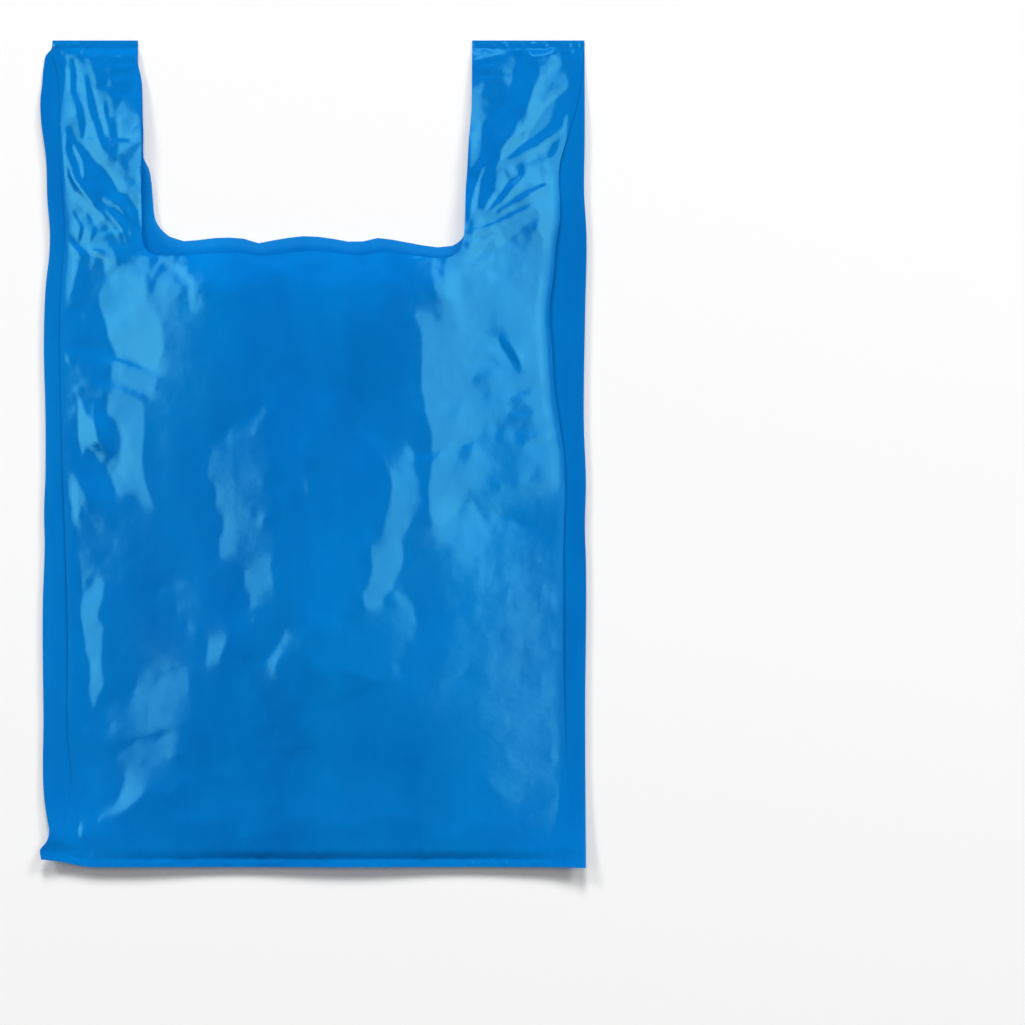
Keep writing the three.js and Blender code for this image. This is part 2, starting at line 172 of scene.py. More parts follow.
# Flat facets that the front film is creased into. Each faces a bearing, in degrees anticlockwise
# from +X, at a slope, inside an outline whose edge is blurred over so many pixels.
FACETS = [
    # name, bearing, slope, blur, outline
    ("left handle sheet", 180, 0.19, 4, [
        (60, 50), (140, 50), (144, 100), (145, 204), (120, 196), (104, 172), (84, 148), (63, 122), (60, 95),
    ]),
    ("left handle dark facet", 350, 0.05, 3, [
        (92, 50), (99, 53), (103, 62), (109, 76), (112, 89), (99, 90), (93, 72),
    ]),
    ("left handle upper middle", 190, 0.19, 5, [(72, 62), (88, 66), (92, 96), (74, 96)]),
    ("left handle upper shade", 60, 0.06, 3, [
        (111, 67), (139, 67), (141, 80), (134, 100), (120, 106), (113, 92),
    ]),
    ("left handle outer", 182, 0.19, 4, [(60, 112), (78, 100), (80, 130), (84, 146), (73, 136), (62, 121)]),
    ("left handle second dark", 0, 0.03, 4, [
        (104, 120), (118, 116), (116, 140), (118, 160), (108, 162), (103, 145),
    ]),
    ("left handle slash", 12, 0.2, 2, [
        (60, 118), (74, 136), (84, 146), (104, 170), (120, 194), (131, 199), (137, 220), (131, 247),
        (118, 232), (98, 210), (85, 196), (71, 178), (66, 150),
    ]),
    ("left handle foot", 178, 0.17, 4, [
        (50, 187), (68, 186), (84, 200), (96, 213), (116, 234), (130, 250), (112, 250), (88, 250), (75, 246),
        (64, 226), (52, 222),
    ]),
    ("left handle foot shade", 30, 0.06, 4, [
        (84, 212), (98, 222), (118, 240), (112, 248), (98, 240), (88, 230),
    ]),
    ("left knot shade", 60, 0.14, 3, [
        (112, 246), (128, 246), (142, 240), (158, 246), (158, 258), (138, 259), (116, 258),
    ]),
    ("left shoulder", 180, 0.2, 4, [
        (48, 250), (76, 253), (84, 262), (76, 276), (64, 300), (50, 320), (46, 290),
    ]),
    ("left lens shade", 290, 0.1, 3, [
        (50, 325), (75, 302), (100, 308), (106, 340), (117, 358), (95, 352), (66, 350), (52, 336),
    ]),
    ("left gusset lit", 182, 0.19, 2, [
        (98, 302), (104, 286), (112, 279), (120, 268), (134, 262), (143, 262), (147, 276), (149, 300),
        (158, 312), (164, 324), (163, 352), (154, 372), (140, 363), (118, 359), (107, 338), (105, 318),
    ]),
    ("left gusset strip", 165, 0.2, 2, [
        (112, 369), (124, 369), (136, 373), (156, 377), (155, 389), (128, 387), (112, 380),
    ]),
    ("left gusset column", 180, 0.19, 3, [
        (109, 396), (122, 404), (145, 403), (148, 440), (150, 480), (156, 503), (142, 503), (118, 494),
        (112, 480), (121, 460), (122, 430), (112, 415),
    ]),
    ("left buckle one", 185, 0.26, 2, [
        (73, 391), (80, 400), (85, 407), (97, 422), (98, 444), (104, 450), (111, 453), (100, 459), (88, 451),
        (83, 455), (81, 430), (81, 408),
    ]),
    ("left buckle one shade", 0, 0.12, 3, [
        (98, 404), (108, 408), (112, 430), (112, 448), (103, 446), (101, 424),
    ]),
    ("left side plain", 180, 0.07, 8, [
        (62, 372), (78, 368), (76, 392), (70, 420), (80, 456), (92, 470), (112, 480), (118, 500), (100, 540),
        (62, 540),
    ]),
    ("left buckle two", 200, 0.26, 2, [
        (59, 474), (68, 480), (78, 483), (86, 490), (91, 502), (82, 508), (78, 520), (73, 516), (75, 500),
        (66, 489),
    ]),
    ("left buckle two shade", 0, 0.08, 4, [
        (70, 456), (90, 458), (104, 470), (98, 492), (88, 484), (70, 474),
    ]),
    ("left edge glint", 200, 0.26, 2, [(52, 346), (60, 351), (69, 366), (62, 366), (54, 358)]),
    ("left low glint one", 150, 0.14, 4, [(80, 545), (92, 545), (98, 560), (100, 580), (90, 578), (82, 562)]),
    ("left low glint two", 150, 0.14, 4, [(106, 536), (124, 538), (122, 566), (116, 578), (108, 560)]),
    ("left low plain", 180, 0.04, 12, [
        (70, 545), (130, 505), (215, 520), (215, 640), (200, 735), (120, 742), (100, 850), (70, 850),
    ]),
    ("left low column", 175, 0.16, 10, [(84, 590), (104, 590), (104, 680), (94, 712), (86, 690)]),
    ("left low strip shade", 0, 0.06, 6, [
        (68, 560), (80, 560), (84, 640), (84, 740), (100, 780), (88, 790), (72, 740),
    ]),
    ("left low swell", 150, 0.17, 10, [
        (128, 740), (142, 737), (162, 735), (174, 738), (186, 746), (176, 774), (160, 790), (148, 801),
        (110, 815), (113, 805), (131, 790), (130, 762),
    ]),
    ("corner pocket", 0, 0.34, 2, [(52, 828), (66, 826), (72, 840), (70, 852), (56, 850)]),
    ("corner light", 215, 0.3, 2, [(71, 842), (86, 826), (88, 830), (80, 846), (72, 854)]),
    ("left low drift", 155, 0.15, 14, [
        (112, 700), (150, 670), (176, 680), (176, 720), (140, 728), (112, 730),
    ]),
    ("centre slant", 150, 0.21, 9, [
        (168, 584), (196, 586), (204, 606), (222, 638), (232, 662), (214, 656), (190, 626), (172, 602),
    ]),
    ("centre column", 172, 0.2, 14, [
        (242, 408), (262, 405), (272, 430), (278, 470), (294, 498), (282, 520), (298, 532), (296, 556),
        (288, 580), (300, 596), (306, 630), (314, 652), (306, 672), (296, 712), (288, 750), (276, 757),
        (268, 732), (270, 690), (262, 642), (236, 634), (240, 590), (238, 560), (220, 540), (213, 500),
        (218, 472), (224, 440),
    ]),
    ("centre column shade", 310, 0.08, 6, [
        (262, 622), (290, 630), (286, 650), (270, 662), (250, 660), (258, 645),
    ]),
    ("centre pool", 12, 0.18, 8, [
        (374, 437), (404, 441), (411, 455), (415, 500), (406, 530), (402, 562), (394, 586), (382, 608),
        (366, 608), (358, 590), (364, 548), (381, 515), (383, 490), (386, 465),
    ]),
    ("centre leaf", 15, 0.18, 9, [
        (350, 386), (372, 384), (378, 402), (370, 428), (356, 457), (344, 446), (320, 470), (309, 504),
        (304, 478), (316, 440), (336, 414),
    ]),
    ("centre low plain", 180, 0.03, 14, [
        (320, 720), (420, 690), (560, 800), (560, 820), (130, 820), (210, 780), (290, 760),
    ]),
    ("centre low right", 20, 0.16, 16, [
        (330, 600), (420, 600), (424, 640), (400, 682), (340, 668), (320, 640),
    ]),
    ("upper dark bowl", 300, 0.06, 16, [
        (205, 290), (300, 285), (380, 340), (370, 380), (270, 390), (215, 350),
    ]),
    ("right handle sheet", 12, 0.19, 4, [
        (470, 48), (520, 48), (508, 96), (484, 118), (484, 150), (468, 175),
    ]),
    ("right handle hem", 8, 0.2, 3, [(473, 84), (480, 84), (482, 132), (476, 150), (469, 170), (468, 120)]),
    ("right handle cheek", 25, 0.19, 3, [
        (505, 48), (518, 48), (516, 60), (508, 74), (502, 84), (497, 78), (500, 64),
    ]),
    ("right handle hollow", 150, 0.08, 3, [
        (519, 48), (530, 52), (538, 68), (531, 84), (526, 104), (510, 126), (497, 146), (484, 160),
        (485, 120), (507, 96), (511, 72),
    ]),
    ("right handle dish", 340, 0.24, 5, [
        (530, 50), (552, 49), (563, 60), (571, 72), (581, 77), (560, 98), (540, 118), (524, 134), (514, 146),
        (500, 160), (497, 150), (512, 130), (528, 106), (536, 84), (537, 66),
    ]),
    ("right handle first rise", 318, 0.21, 2, [
        (572, 77), (580, 79), (560, 99), (540, 119), (520, 139), (500, 161), (498, 157), (512, 140),
        (530, 118), (550, 94),
    ]),
    ("right handle wedge", 135, 0.13, 2, [
        (583, 78), (578, 104), (571, 128), (556, 133), (540, 141), (520, 156), (500, 165), (522, 140),
        (542, 120), (562, 100),
    ]),
    ("right handle second rise", 315, 0.21, 2, [
        (572, 124), (562, 133), (543, 143), (524, 158), (512, 168), (510, 163), (520, 154), (540, 139),
        (558, 130),
    ]),
    ("right handle tag", 30, 0.17, 3, [(563, 112), (571, 108), (570, 124), (562, 127)]),
    ("right fold light", 0, 0.26, 2, [(556, 165), (562, 165), (562, 240), (555, 246)]),
    ("right handle underside", 135, 0.05, 3, [
        (573, 130), (586, 132), (585, 205), (560, 205), (558, 166), (542, 162), (526, 168), (514, 170),
        (545, 146),
    ]),
    ("right shoulder", 5, 0.19, 3, [
        (515, 178), (530, 171), (557, 163), (558, 195), (560, 225), (556, 247), (500, 250), (470, 243),
        (474, 222), (490, 205), (498, 186),
    ]),
    ("right handle curl", 20, 0.2, 3, [
        (494, 158), (513, 163), (506, 176), (497, 186), (490, 204), (474, 218), (468, 218), (474, 196),
        (481, 174),
    ]),
    ("right knot hollow", 150, 0.14, 2, [
        (481, 178), (490, 172), (497, 180), (494, 194), (484, 208), (477, 208),
    ]),
    ("right low plain", 0, 0.05, 14, [
        (420, 540), (560, 535), (566, 700), (560, 800), (430, 760), (415, 640),
    ]),
    ("right body upper", 4, 0.21, 5, [
        (448, 262), (470, 254), (556, 246), (553, 330), (500, 326), (458, 332), (440, 320), (413, 328),
        (414, 312), (446, 310),
    ]),
    ("right body middle", 2, 0.2, 5, [
        (418, 330), (458, 332), (500, 326), (553, 330), (550, 375), (555, 420), (540, 424), (500, 420),
        (470, 440), (432, 456), (428, 424), (421, 384),
    ]),
    ("right body glint one", 30, 0.2, 3, [(470, 372), (480, 336), (488, 334), (500, 352), (498, 374)]),
    ("right body glint two", 40, 0.14, 3, [(446, 412), (450, 402), (463, 402), (460, 414), (450, 420)]),
    ("right body lower", 6, 0.21, 5, [
        (434, 462), (448, 454), (472, 450), (530, 448), (563, 438), (563, 480), (500, 488), (468, 494),
        (458, 520), (432, 528), (426, 510), (422, 484),
    ]),
    ("right body fall", 268, 0.1, 6, [
        (480, 492), (560, 486), (562, 520), (530, 528), (490, 524), (474, 508),
    ]),
]
FACET_GRID = 0.8  # spacing of the grid that facets are drawn on
FACET_REACH = 70.0  # distance over which the film settles back beside a facet
FACET_HOLD = 55.0  # width beside a fold over which the facets are let down to it
HOLD_INSET = 3.0  # distance in from the fold at which the height to let down is read
HOLD_ROWS = 15  # rows of the grid that it is evened out over
HOLD_BLEND = (30.0, 20.0)  # below and above the mouth, where the hold narrows to half for a handle
FACET_MARGIN = 25.0  # round the bag, which keeps its two sides apart
FACET_WARP = 0.6  # how far an outline wanders, to its blur
STREAK_WARP = 0.35  # how far a thin facet wanders
WANDER_SIZES = (22.0, 7.0)  # lengths over which they wander, the second half as far
BLUR_SHARE = 0.6  # of a facet's blur that its edge has, besides its wandering
FACET_FLATNESS = 0.75  # share of the film's other slopes that a facet takes away
STREAK_FLATNESS = 1.0
CREASE_SEED = 4
CELLS = [(17.0, 0.075), (7.0, 0.055), (3.4, 0.035)]  # sizes of the small random facets, and slopes
CELL_SHARE = 0.6  # of a cell's slope that is left inside a facet
FOLD_CLEAR = 9.0  # distance from a side fold over which creases come in
WELD_CLEAR = 6.0  # and from a weld

# How much the small facets show: over the middle, then what is added and where it comes in
CRUMPLE = 0.12
CRUMPLE_LEFT = (0.42, 20.0, 62.0)  # amount, and distances from the left fold between which it fades
CRUMPLE_RIGHT = (0.14, 60.0, 100.0)
CRUMPLE_LOW = (60.0, 190.0)  # distances from the bottom edge between which those two come in
CRUMPLE_HANDLES = (0.85, 55.0, 5.0)  # amount, and distances below and above the mouth

# Thin facets along creases, which taper to both ends: widths and runs in pixels
STREAKS = [
    # name, bearing, slope, width, run
    ("left handle cheek", 120, 0.14, 8, [(103, 50), (120, 57), (139, 61)]),
    ("left handle cheek shade", 92, 0.26, 3.5, [(112, 66), (139, 66)]),
    ("left handle rung one", 92, 0.26, 3.5, [(111, 80), (133, 78)]),
    ("left handle rung two", 92, 0.26, 3.5, [(97, 91), (114, 90)]),
    ("left handle rung three", 92, 0.26, 3.5, [(112, 99), (142, 97)]),
    ("left handle rung four", 92, 0.26, 3.5, [(102, 146), (116, 142), (130, 141)]),
    ("left handle rung five", 92, 0.26, 3.5, [(78, 140), (95, 139)]),
    ("left handle S light", 178, 0.25, 5, [(87, 62), (89, 84), (97, 96), (103, 116), (107, 132), (112, 142)]),
    ("left handle S shade", 10, 0.16, 5, [
        (87, 78), (91, 96), (93, 108), (98, 122), (101, 136), (105, 147), (116, 150),
    ]),
    ("left handle fork light", 178, 0.25, 6, [(83, 100), (89, 116), (90, 130), (86, 140)]),
    ("left handle fork shade", 5, 0.18, 4, [(76, 97), (80, 106), (83, 120), (83, 137)]),
    ("left handle tick", 5, 0.16, 3, [(107, 104), (109, 120)]),
    ("left handle shoulder light", 185, 0.24, 6, [(49, 52), (58, 63), (66, 70), (69, 84), (70, 98)]),
    ("left handle side light", 178, 0.24, 7, [(64, 90), (66, 114)]),
    ("left handle side shade", 10, 0.2, 4, [(73, 62), (74, 78), (75, 96)]),
    ("left handle edge light", 178, 0.26, 4, [(62, 120), (65, 132), (64, 150)]),
    ("left slash rim", 221, 0.3, 5, [(68, 176), (80, 192), (96, 208)]),
    ("left slash rib", 205, 0.24, 4, [(72, 142), (80, 160), (84, 178)]),
    ("left slash glint", 234, 0.28, 5, [(102, 201), (118, 208), (132, 223)]),
    ("left slash lower glint", 215, 0.26, 4, [(108, 214), (122, 230), (129, 244)]),
    ("left ladder one", 92, 0.26, 3.5, [(49, 184), (73, 182)]),
    ("left ladder two", 92, 0.26, 3.5, [(52, 176), (68, 175)]),
    ("left ladder three", 92, 0.26, 3.5, [(126, 184), (144, 185)]),
    ("left ladder four", 92, 0.26, 3.5, [(128, 190), (143, 190)]),
    ("left foot rib one", 10, 0.14, 4, [(74, 210), (84, 228), (80, 242)]),
    ("left foot rib two", 10, 0.12, 4, [(88, 214), (96, 230), (92, 242)]),
    ("left foot rung", 92, 0.26, 3.5, [(100, 235), (124, 232)]),
    ("left knot dark arc", 45, 0.26, 5, [(60, 220), (67, 230), (72, 243), (82, 252), (96, 252), (114, 253)]),
    ("left knot glint one", 228, 0.32, 4, [(88, 252), (100, 256), (112, 264)]),
    ("left knot glint two", 222, 0.32, 4, [(66, 243), (75, 252), (85, 264)]),
    ("left knot tail", 92, 0.26, 3.5, [(134, 258), (148, 253), (160, 257)]),
    ("right weld rung one", 92, 0.26, 3.5, [(472, 60), (490, 57)]),
    ("right weld rung two", 92, 0.26, 3.5, [(475, 79), (502, 77)]),
    ("right weld rung three", 92, 0.26, 3.5, [(480, 67), (496, 65)]),
    ("right curl rim", 337, 0.22, 4, [(496, 156), (482, 172), (475, 196), (469, 220)]),
    ("right curl shade", 150, 0.16, 4, [(500, 158), (494, 166), (488, 178), (482, 192)]),
    ("right tooth light", 330, 0.2, 6, [(498, 164), (514, 164)]),
    ("right slash", 135, 0.28, 5, [(522, 176), (510, 186), (502, 197), (488, 211)]),
    ("right slash light", 315, 0.24, 4, [(524, 182), (508, 196), (494, 212)]),
    ("right second slash", 119, 0.22, 4, [(546, 184), (528, 192), (508, 205), (496, 212)]),
    ("right second light", 312, 0.22, 5, [(551, 189), (530, 200), (512, 210), (498, 217)]),
    ("right third slash", 119, 0.2, 4, [(530, 206), (512, 214), (494, 224)]),
    ("right wrist slash", 108, 0.26, 4, [(468, 231), (484, 228), (498, 221)]),
    ("right wrist second slash", 108, 0.2, 3, [(466, 243), (480, 240), (494, 236)]),
    ("right wrist rung one", 92, 0.26, 3.5, [(476, 258), (494, 256)]),
    ("right wrist rung two", 92, 0.26, 3.5, [(468, 263), (490, 262)]),
    ("right body dent", 216, 0.22, 5, [(500, 341), (508, 350), (519, 367)]),
    ("right body dent light", 345, 0.2, 6, [(470, 366), (486, 354), (498, 360)]),
    ("right body dent line", 92, 0.26, 3.5, [(474, 376), (500, 375)]),
    ("right body crease", 105, 0.26, 5, [(416, 460), (436, 455), (450, 448), (474, 444)]),
    ("right body crease light", 325, 0.2, 5, [(440, 452), (456, 444), (482, 436)]),
    ("right body spark one", 0, 0.24, 5, [(508, 322), (526, 323)]),
    ("right body spark two", 0, 0.24, 4, [(464, 293), (474, 291)]),
    ("right body rung one", 92, 0.26, 3.5, [(508, 413), (534, 415)]),
    ("right body rung two", 92, 0.26, 3.5, [(510, 396), (532, 395)]),
    ("right body roll", 318, 0.22, 5, [(524, 444), (546, 439), (563, 427)]),
    ("left gusset crease shade", 75, 0.3, 5, [(106, 360), (122, 361), (138, 366), (158, 374)]),
    ("left gusset second shade", 75, 0.26, 5, [(98, 384), (116, 388), (136, 394), (150, 396)]),
    ("left edge rung", 92, 0.26, 3.5, [(60, 394), (76, 393)]),
    ("left mouth arc", 212, 0.24, 7, [(162, 260), (180, 270), (194, 282), (194, 308)]),
    ("left low line one", 0, 0.1, 4, [(76, 530), (74, 600), (76, 680), (74, 730)]),
]

# The stage, in metres. Flat film at (x, y) mirrors about (2.1 x - 0.14, 2.1 y + 0.04) at the boxes'
# height, and a slope moves that 3.4 m to each unit of slope, towards the bearing that it faces.
BOX_HEIGHT = 1.7
SOFTBOXES = [
    # name, range across the bag, range along it, radiance
    ("left_inner_box", (-1.05, -0.8), (-0.6, 0.85), 1.3),
    ("left_outer_box", (-1.75, -1.05), (-0.6, 0.85), 2.1),
    ("right_inner_box", (0.42, 0.7), (-0.5, 0.9), 1.3),
    ("right_outer_box", (0.7, 1.4), (-0.5, 0.9), 2.1),
    ("top_strip", (-0.2, 0.6), (1.3, 1.7), 1.4),
]
LOW_LEAN = 60  # of the low lights, in degrees off the vertical
LOW_DISTANCE = 16.0
LOW_SIZE = 3.6
LOW_LIGHTS = [
    # name, bearing, power in watts
    ("top_light", 90, 1950),
    ("top_left_light", 130, 900),
    ("top_right_light", 50, 900),
]
FLOOR_SIZE = 6
FLOOR_DROP = 0.0002


def from_photo(points):
    """Bag positions in millimetres of points in the photograph's pixels."""
    p = np.asarray(points, float)
    return np.stack([(p[..., 0] - PHOTO_CENTRE[0]) * PIXEL, (PHOTO_CENTRE[1] - p[..., 1]) * PIXEL], -1)


def smoothstep(x, low, high):
    t = np.clip((x - low) / (high - low), 0, 1)
    return t * t * (3 - 2 * t)


def mix(a, b, t):
    return a + (b - a) * t


def edge_curve(points):
    """A smooth curve x(y) through an edge's points, which run from top to bottom."""
    xy = from_photo(points)[::-1]
    x, y = xy[:, 0], xy[:, 1]
    slope = np.gradient(x, y)

    def at(where):
        where = np.clip(where, y[0], y[-1])
        i = np.clip(np.searchsorted(y, where) - 1, 0, len(y) - 2)
        h = y[i + 1] - y[i]
        t = (where - y[i]) / h
        a, b = t * t * (3 - 2 * t), t * (1 - t)
        return mix(x[i], x[i + 1], a) + h * b * (slope[i] * (1 - t) - slope[i + 1] * t)

    return at


def outline(points, steps=5):
    """A closed outline in millimetres that passes smoothly through the points."""
    xy = from_photo(points)
    tangent = np.zeros_like(xy)
    tangent[1:-1] = (xy[2:] - xy[:-2]) / 2
    knots = [Vector((x, y, 0)) for x, y in xy]
    out = []
    for i, (start, end) in enumerate(zip(knots, knots[1:])):
        reach = (end - start).length / 3
        a = Vector((*tangent[i], 0)).normalized() * reach
        b = Vector((*tangent[i + 1], 0)).normalized() * reach
        out += [p.xy for p in interpolate_bezier(start, start + a, end - b, end, steps)[:-1]]
    return np.array(out + [knots[-1].xy])


def outside(places, ring):
    """Signed distance of each place from a closed ring: positive outside it."""
    inside = np.zeros(len(places), bool)
    nearest = np.full(len(places), 1e9)
    for a, b in zip(ring, np.roll(ring, -1, 0)):
        along = b - a
        t = np.clip(((places - a) @ along) / (along @ along), 0, 1)
        nearest = np.minimum(nearest, np.hypot(*(places - a - t[:, None] * along).T))
        spans = (a[1] > places[:, 1]) != (b[1] > places[:, 1])
        with np.errstate(divide="ignore", invalid="ignore"):
            crosses = places[:, 0] < a[0] + (places[:, 1] - a[1]) * along[0] / along[1]
        inside ^= spans & crosses
    return np.where(inside, -nearest, nearest)


back_left, back_right = edge_curve(BACK_LEFT), edge_curve(BACK_RIGHT)
front_left, front_right = edge_curve(FRONT_LEFT), edge_curve(FRONT_RIGHT)
pleat_left, pleat_right = edge_curve(PLEAT_LEFT), edge_curve(PLEAT_RIGHT)
MOUTH = BAG_LENGTH / 2 - (PHOTO_MOUTH - PHOTO_TOP) * PIXEL  # its place along the bag


def along_bag(y):
    """Distances of a place from the bottom edge and from the handle tops."""
    return y + BAG_LENGTH / 2, BAG_LENGTH / 2 - y


def openness(y):
    """0 in the welds and 1 well away from them."""
    low, high = along_bag(y)
    return np.sqrt(smoothstep(low, WELD, BOTTOM_TAPER)) * smoothstep(high, WELD - HANDLE_OPENS, HANDLE_TAPER)


def pitch_at(y):
    """Distance from one film to the next where two lie together."""
    before, past = WELD_PARTS
    return mix(WELD_PITCH, PITCH, smoothstep(np.minimum(*along_bag(y)), WELD - before, WELD + past))


def past_mouth(y, blend):
    """0 below the mouth and 1 above it, over a range that starts below it and ends above it."""
    below, above = blend
    return smoothstep(y, MOUTH - below, MOUTH + above)


def from_folds(x, y):
    """Distance in from the nearer of the front film's side folds."""
    return np.minimum(x - front_left(y), front_right(y) - x)


def waves(count):
    """Wave numbers along x and along y of the facets' grid."""
    along = [2 * math.pi * np.fft.fftfreq(n, FACET_GRID) for n in count]
    return along[0][:, None], along[1][None, :]


def drift(shape, size, rng):
    """Random heights of about 1 on the facets' grid, which change over that size."""
    kx, ky = waves(shape)
    soft = np.fft.fft2(rng.standard_normal(shape)) * np.exp(-(kx**2 + ky**2) * size**2 / 8)
    soft = np.fft.ifft2(soft).real
    return soft / soft.std()


def polygon_mask(x, y, ring, blur):
    """1 inside a ring and 0 outside it, blurred over a width at its edge."""
    low, high = ring.min(0) - 2 * blur, ring.max(0) + 2 * blur
    near = (x > low[0]) & (x < high[0]) & (y > low[1]) & (y < high[1])
    mask = np.zeros_like(x)
    away = outside(np.stack([x[near], y[near]], 1), ring)
    mask[near] = 1 - smoothstep(away, -blur / 2, blur / 2)
    return mask


def streak_mask(x, y, run, width):
    """1 along a run of points and 0 beside it, over a width that tapers to both ends."""
    line = from_photo(run)
    step = np.hypot(*(line[1:] - line[:-1]).T)
    passed = np.concatenate([[0], np.cumsum(step)]) / step.sum()
    low, high = line.min(0) - width, line.max(0) + width
    near = (x > low[0]) & (x < high[0]) & (y > low[1]) & (y < high[1])
    px, py = x[near], y[near]
    best, where = np.full(px.shape, 1e9), np.zeros(px.shape)
    for i, (a, b) in enumerate(zip(line, line[1:])):
        along = b - a
        t = np.clip(((px - a[0]) * along[0] + (py - a[1]) * along[1]) / (along @ along), 0, 1)
        away = np.hypot(px - a[0] - t * along[0], py - a[1] - t * along[1])
        where = np.where(away < best, mix(passed[i], passed[i + 1], t), where)
        best = np.minimum(away, best)
    mask = np.zeros_like(x)
    half = width / 2 * np.sqrt(4 * where * (1 - where) + 0.04)
    mask[near] = 1 - smoothstep(best, half - FACET_GRID / 2, half + FACET_GRID / 2)
    return mask


def random_cells(x, y, size, slope, rng):
    """Slopes of a film that is creased into random flat cells of that size."""
    u, v = (x - x.min()) / size + 1, (y - y.min()) / size + 1
    i, j = u.astype(int), v.astype(int)
    seeds = rng.uniform(0, 1, (i.max() + 2, j.max() + 2, 2))
    tilts = rng.normal(0, slope, seeds.shape)
    best = np.full(x.shape, 9.0)
    tilt = np.zeros(x.shape + (2,))
    for di in (-1, 0, 1):
        for dj in (-1, 0, 1):
            a, b = i + di, j + dj
            away = np.hypot(a + seeds[a, b, 0] - u, b + seeds[a, b, 1] - v)
            tilt = np.where((away < best)[..., None], tilts[a, b], tilt)
            best = np.minimum(away, best)
    return tilt[..., 0], tilt[..., 1]


def creasing(x, y):
    """How much the film is crumpled: most in the handles, and least in the middle and low down."""
    sides = 0
    for (most, near, far), inward in ((CRUMPLE_LEFT, x - front_left(y)), (CRUMPLE_RIGHT, front_right(y) - x)):
        sides = sides + most * (1 - smoothstep(inward, near, far))
    low, _ = along_bag(y)
    sides = sides * smoothstep(low, *CRUMPLE_LOW)
    most, *blend = CRUMPLE_HANDLES
    return CRUMPLE + np.maximum(sides, most * past_mouth(y, blend))


def pillow(x, y, mouth):
    """Height of the front film over the back film before any crease, given its mouth distance."""
    inward = from_folds(x, y)
    handle = past_mouth(y, HANDLE_BLEND)
    gape = MOUTH_LOFT * smoothstep(y, MOUTH - GAPE_REACH, MOUTH) * smoothstep(inward, *GAPE_SIDES)
    crown = mix(BODY_LOFT + gape, HANDLE_LOFT, handle)
    t = np.clip(inward / mix(SIDE_RISE, HANDLE_RISE, handle), 0, 1)
    edge = mix(EDGE_LOFT, HANDLE_EDGE_LOFT, handle)
    loft = mix(edge, crown, (t + smoothstep(t, 0, 1)) / 2)
    return loft * mix(1, mix(SLACK_SHARE, 1, smoothstep(mouth, 0, SLACK)), handle)


def unfaceted(x, y, mouth):
    """Middle of the front film over the surface that the bag lies on, without creases."""
    return mix(3 * WELD_PITCH, pillow(x, y, mouth), openness(y))


def sampled(values, half):
    """A function of x and y that reads values off the facets' grid."""
    def at(x, y):
        i = np.clip((x + half[0]) / FACET_GRID, 0, values.shape[0] - 2)
        j = np.clip((y + half[1]) / FACET_GRID, 0, values.shape[1] - 2)
        a, b = i.astype(int), j.astype(int)
        u, v = i - a, j - b
        low = mix(values[a, b], values[a + 1, b], u)
        return mix(low, mix(values[a, b + 1], values[a + 1, b + 1], u), v)

    return at


def faceted_film():
    """Heights of the creased film, and distances from its punched mouth, as functions of x and y.

    Each facet asks for a slope. The heights that fit all the slopes best, and settle back over
    FACET_REACH, are found with one Fourier transform.
    """
    rng = np.random.default_rng(CREASE_SEED)
    half = np.array([BAG_LENGTH / 3 + 2 * FACET_MARGIN, BAG_LENGTH / 2 + FACET_MARGIN])
    count = np.round(2 * half / FACET_GRID).astype(int)
    x, y = np.meshgrid(*(np.arange(n) * FACET_GRID - h for h, n in zip(half, count)), indexing="ij")
    amount = creasing(x, y)
    crumple = np.zeros((2,) + x.shape)
    for size, slope in CELLS:
        crumple += amount * np.stack(random_cells(x, y, size, slope, rng))
    mouth = outside(np.stack([x.ravel(), y.ravel()], 1), outline(FRONT_MOUTH, 2)).reshape(x.shape)
    own_x, own_y = np.gradient(unfaceted(x, y, mouth), FACET_GRID)
    slope_x, slope_y, calm = own_x, own_y, np.ones_like(x)
    far, near = WANDER_SIZES
    warp = [drift(count, far, rng) + 0.5 * drift(count, near, rng) for _ in range(2)]
    masks = []
    for _, bearing, slope, blur, ring in FACETS:
        reach = blur * PIXEL
        warped = [axis + FACET_WARP * reach * move for axis, move in zip((x, y), warp)]
        mask = polygon_mask(*warped, from_photo(ring), max(reach * BLUR_SHARE, FACET_GRID))
        masks.append((bearing, slope, FACET_FLATNESS, mask))
    warped = [axis + STREAK_WARP * move for axis, move in zip((x, y), warp)]
    for _, bearing, slope, width, run in STREAKS:
        masks.append((bearing, slope, STREAK_FLATNESS, streak_mask(*warped, run, width * PIXEL)))
    for bearing, slope, flat, mask in masks:
        keep = 1 - flat * mask
        slope_x = slope_x * keep - mask * slope * math.cos(math.radians(bearing))
        slope_y = slope_y * keep - mask * slope * math.sin(math.radians(bearing))
        calm = calm * (1 - (1 - CELL_SHARE) * mask)
    slope_x, slope_y = slope_x + calm * crumple[0], slope_y + calm * crumple[1]
    kx, ky = waves(count)
    asked = -1j * (kx * np.fft.fft2(slope_x - own_x) + ky * np.fft.fft2(slope_y - own_y))
    height = np.fft.ifft2(asked / (kx**2 + ky**2 + FACET_REACH**-2)).real
    at, rows = sampled(height, half), y[0]
    hold = mix(FACET_HOLD, FACET_HOLD / 2, past_mouth(rows, HOLD_BLEND))
    even = np.exp(-np.linspace(-2, 2, HOLD_ROWS) ** 2)
    for side, way in ((front_left(rows), 1), (front_right(rows), -1)):
        held = np.convolve(at(side + way * HOLD_INSET, rows), even / even.sum(), "same")
        height = height - held * (1 - smoothstep(way * (x - side), 0, hold))
    return sampled(height, half), sampled(mouth, half)


facets, mouth_away = faceted_film()


def front_height(x, y):
    """Middle of the front film without creases, anywhere on the bag."""
    return unfaceted(x, y, mouth_away(x, y))


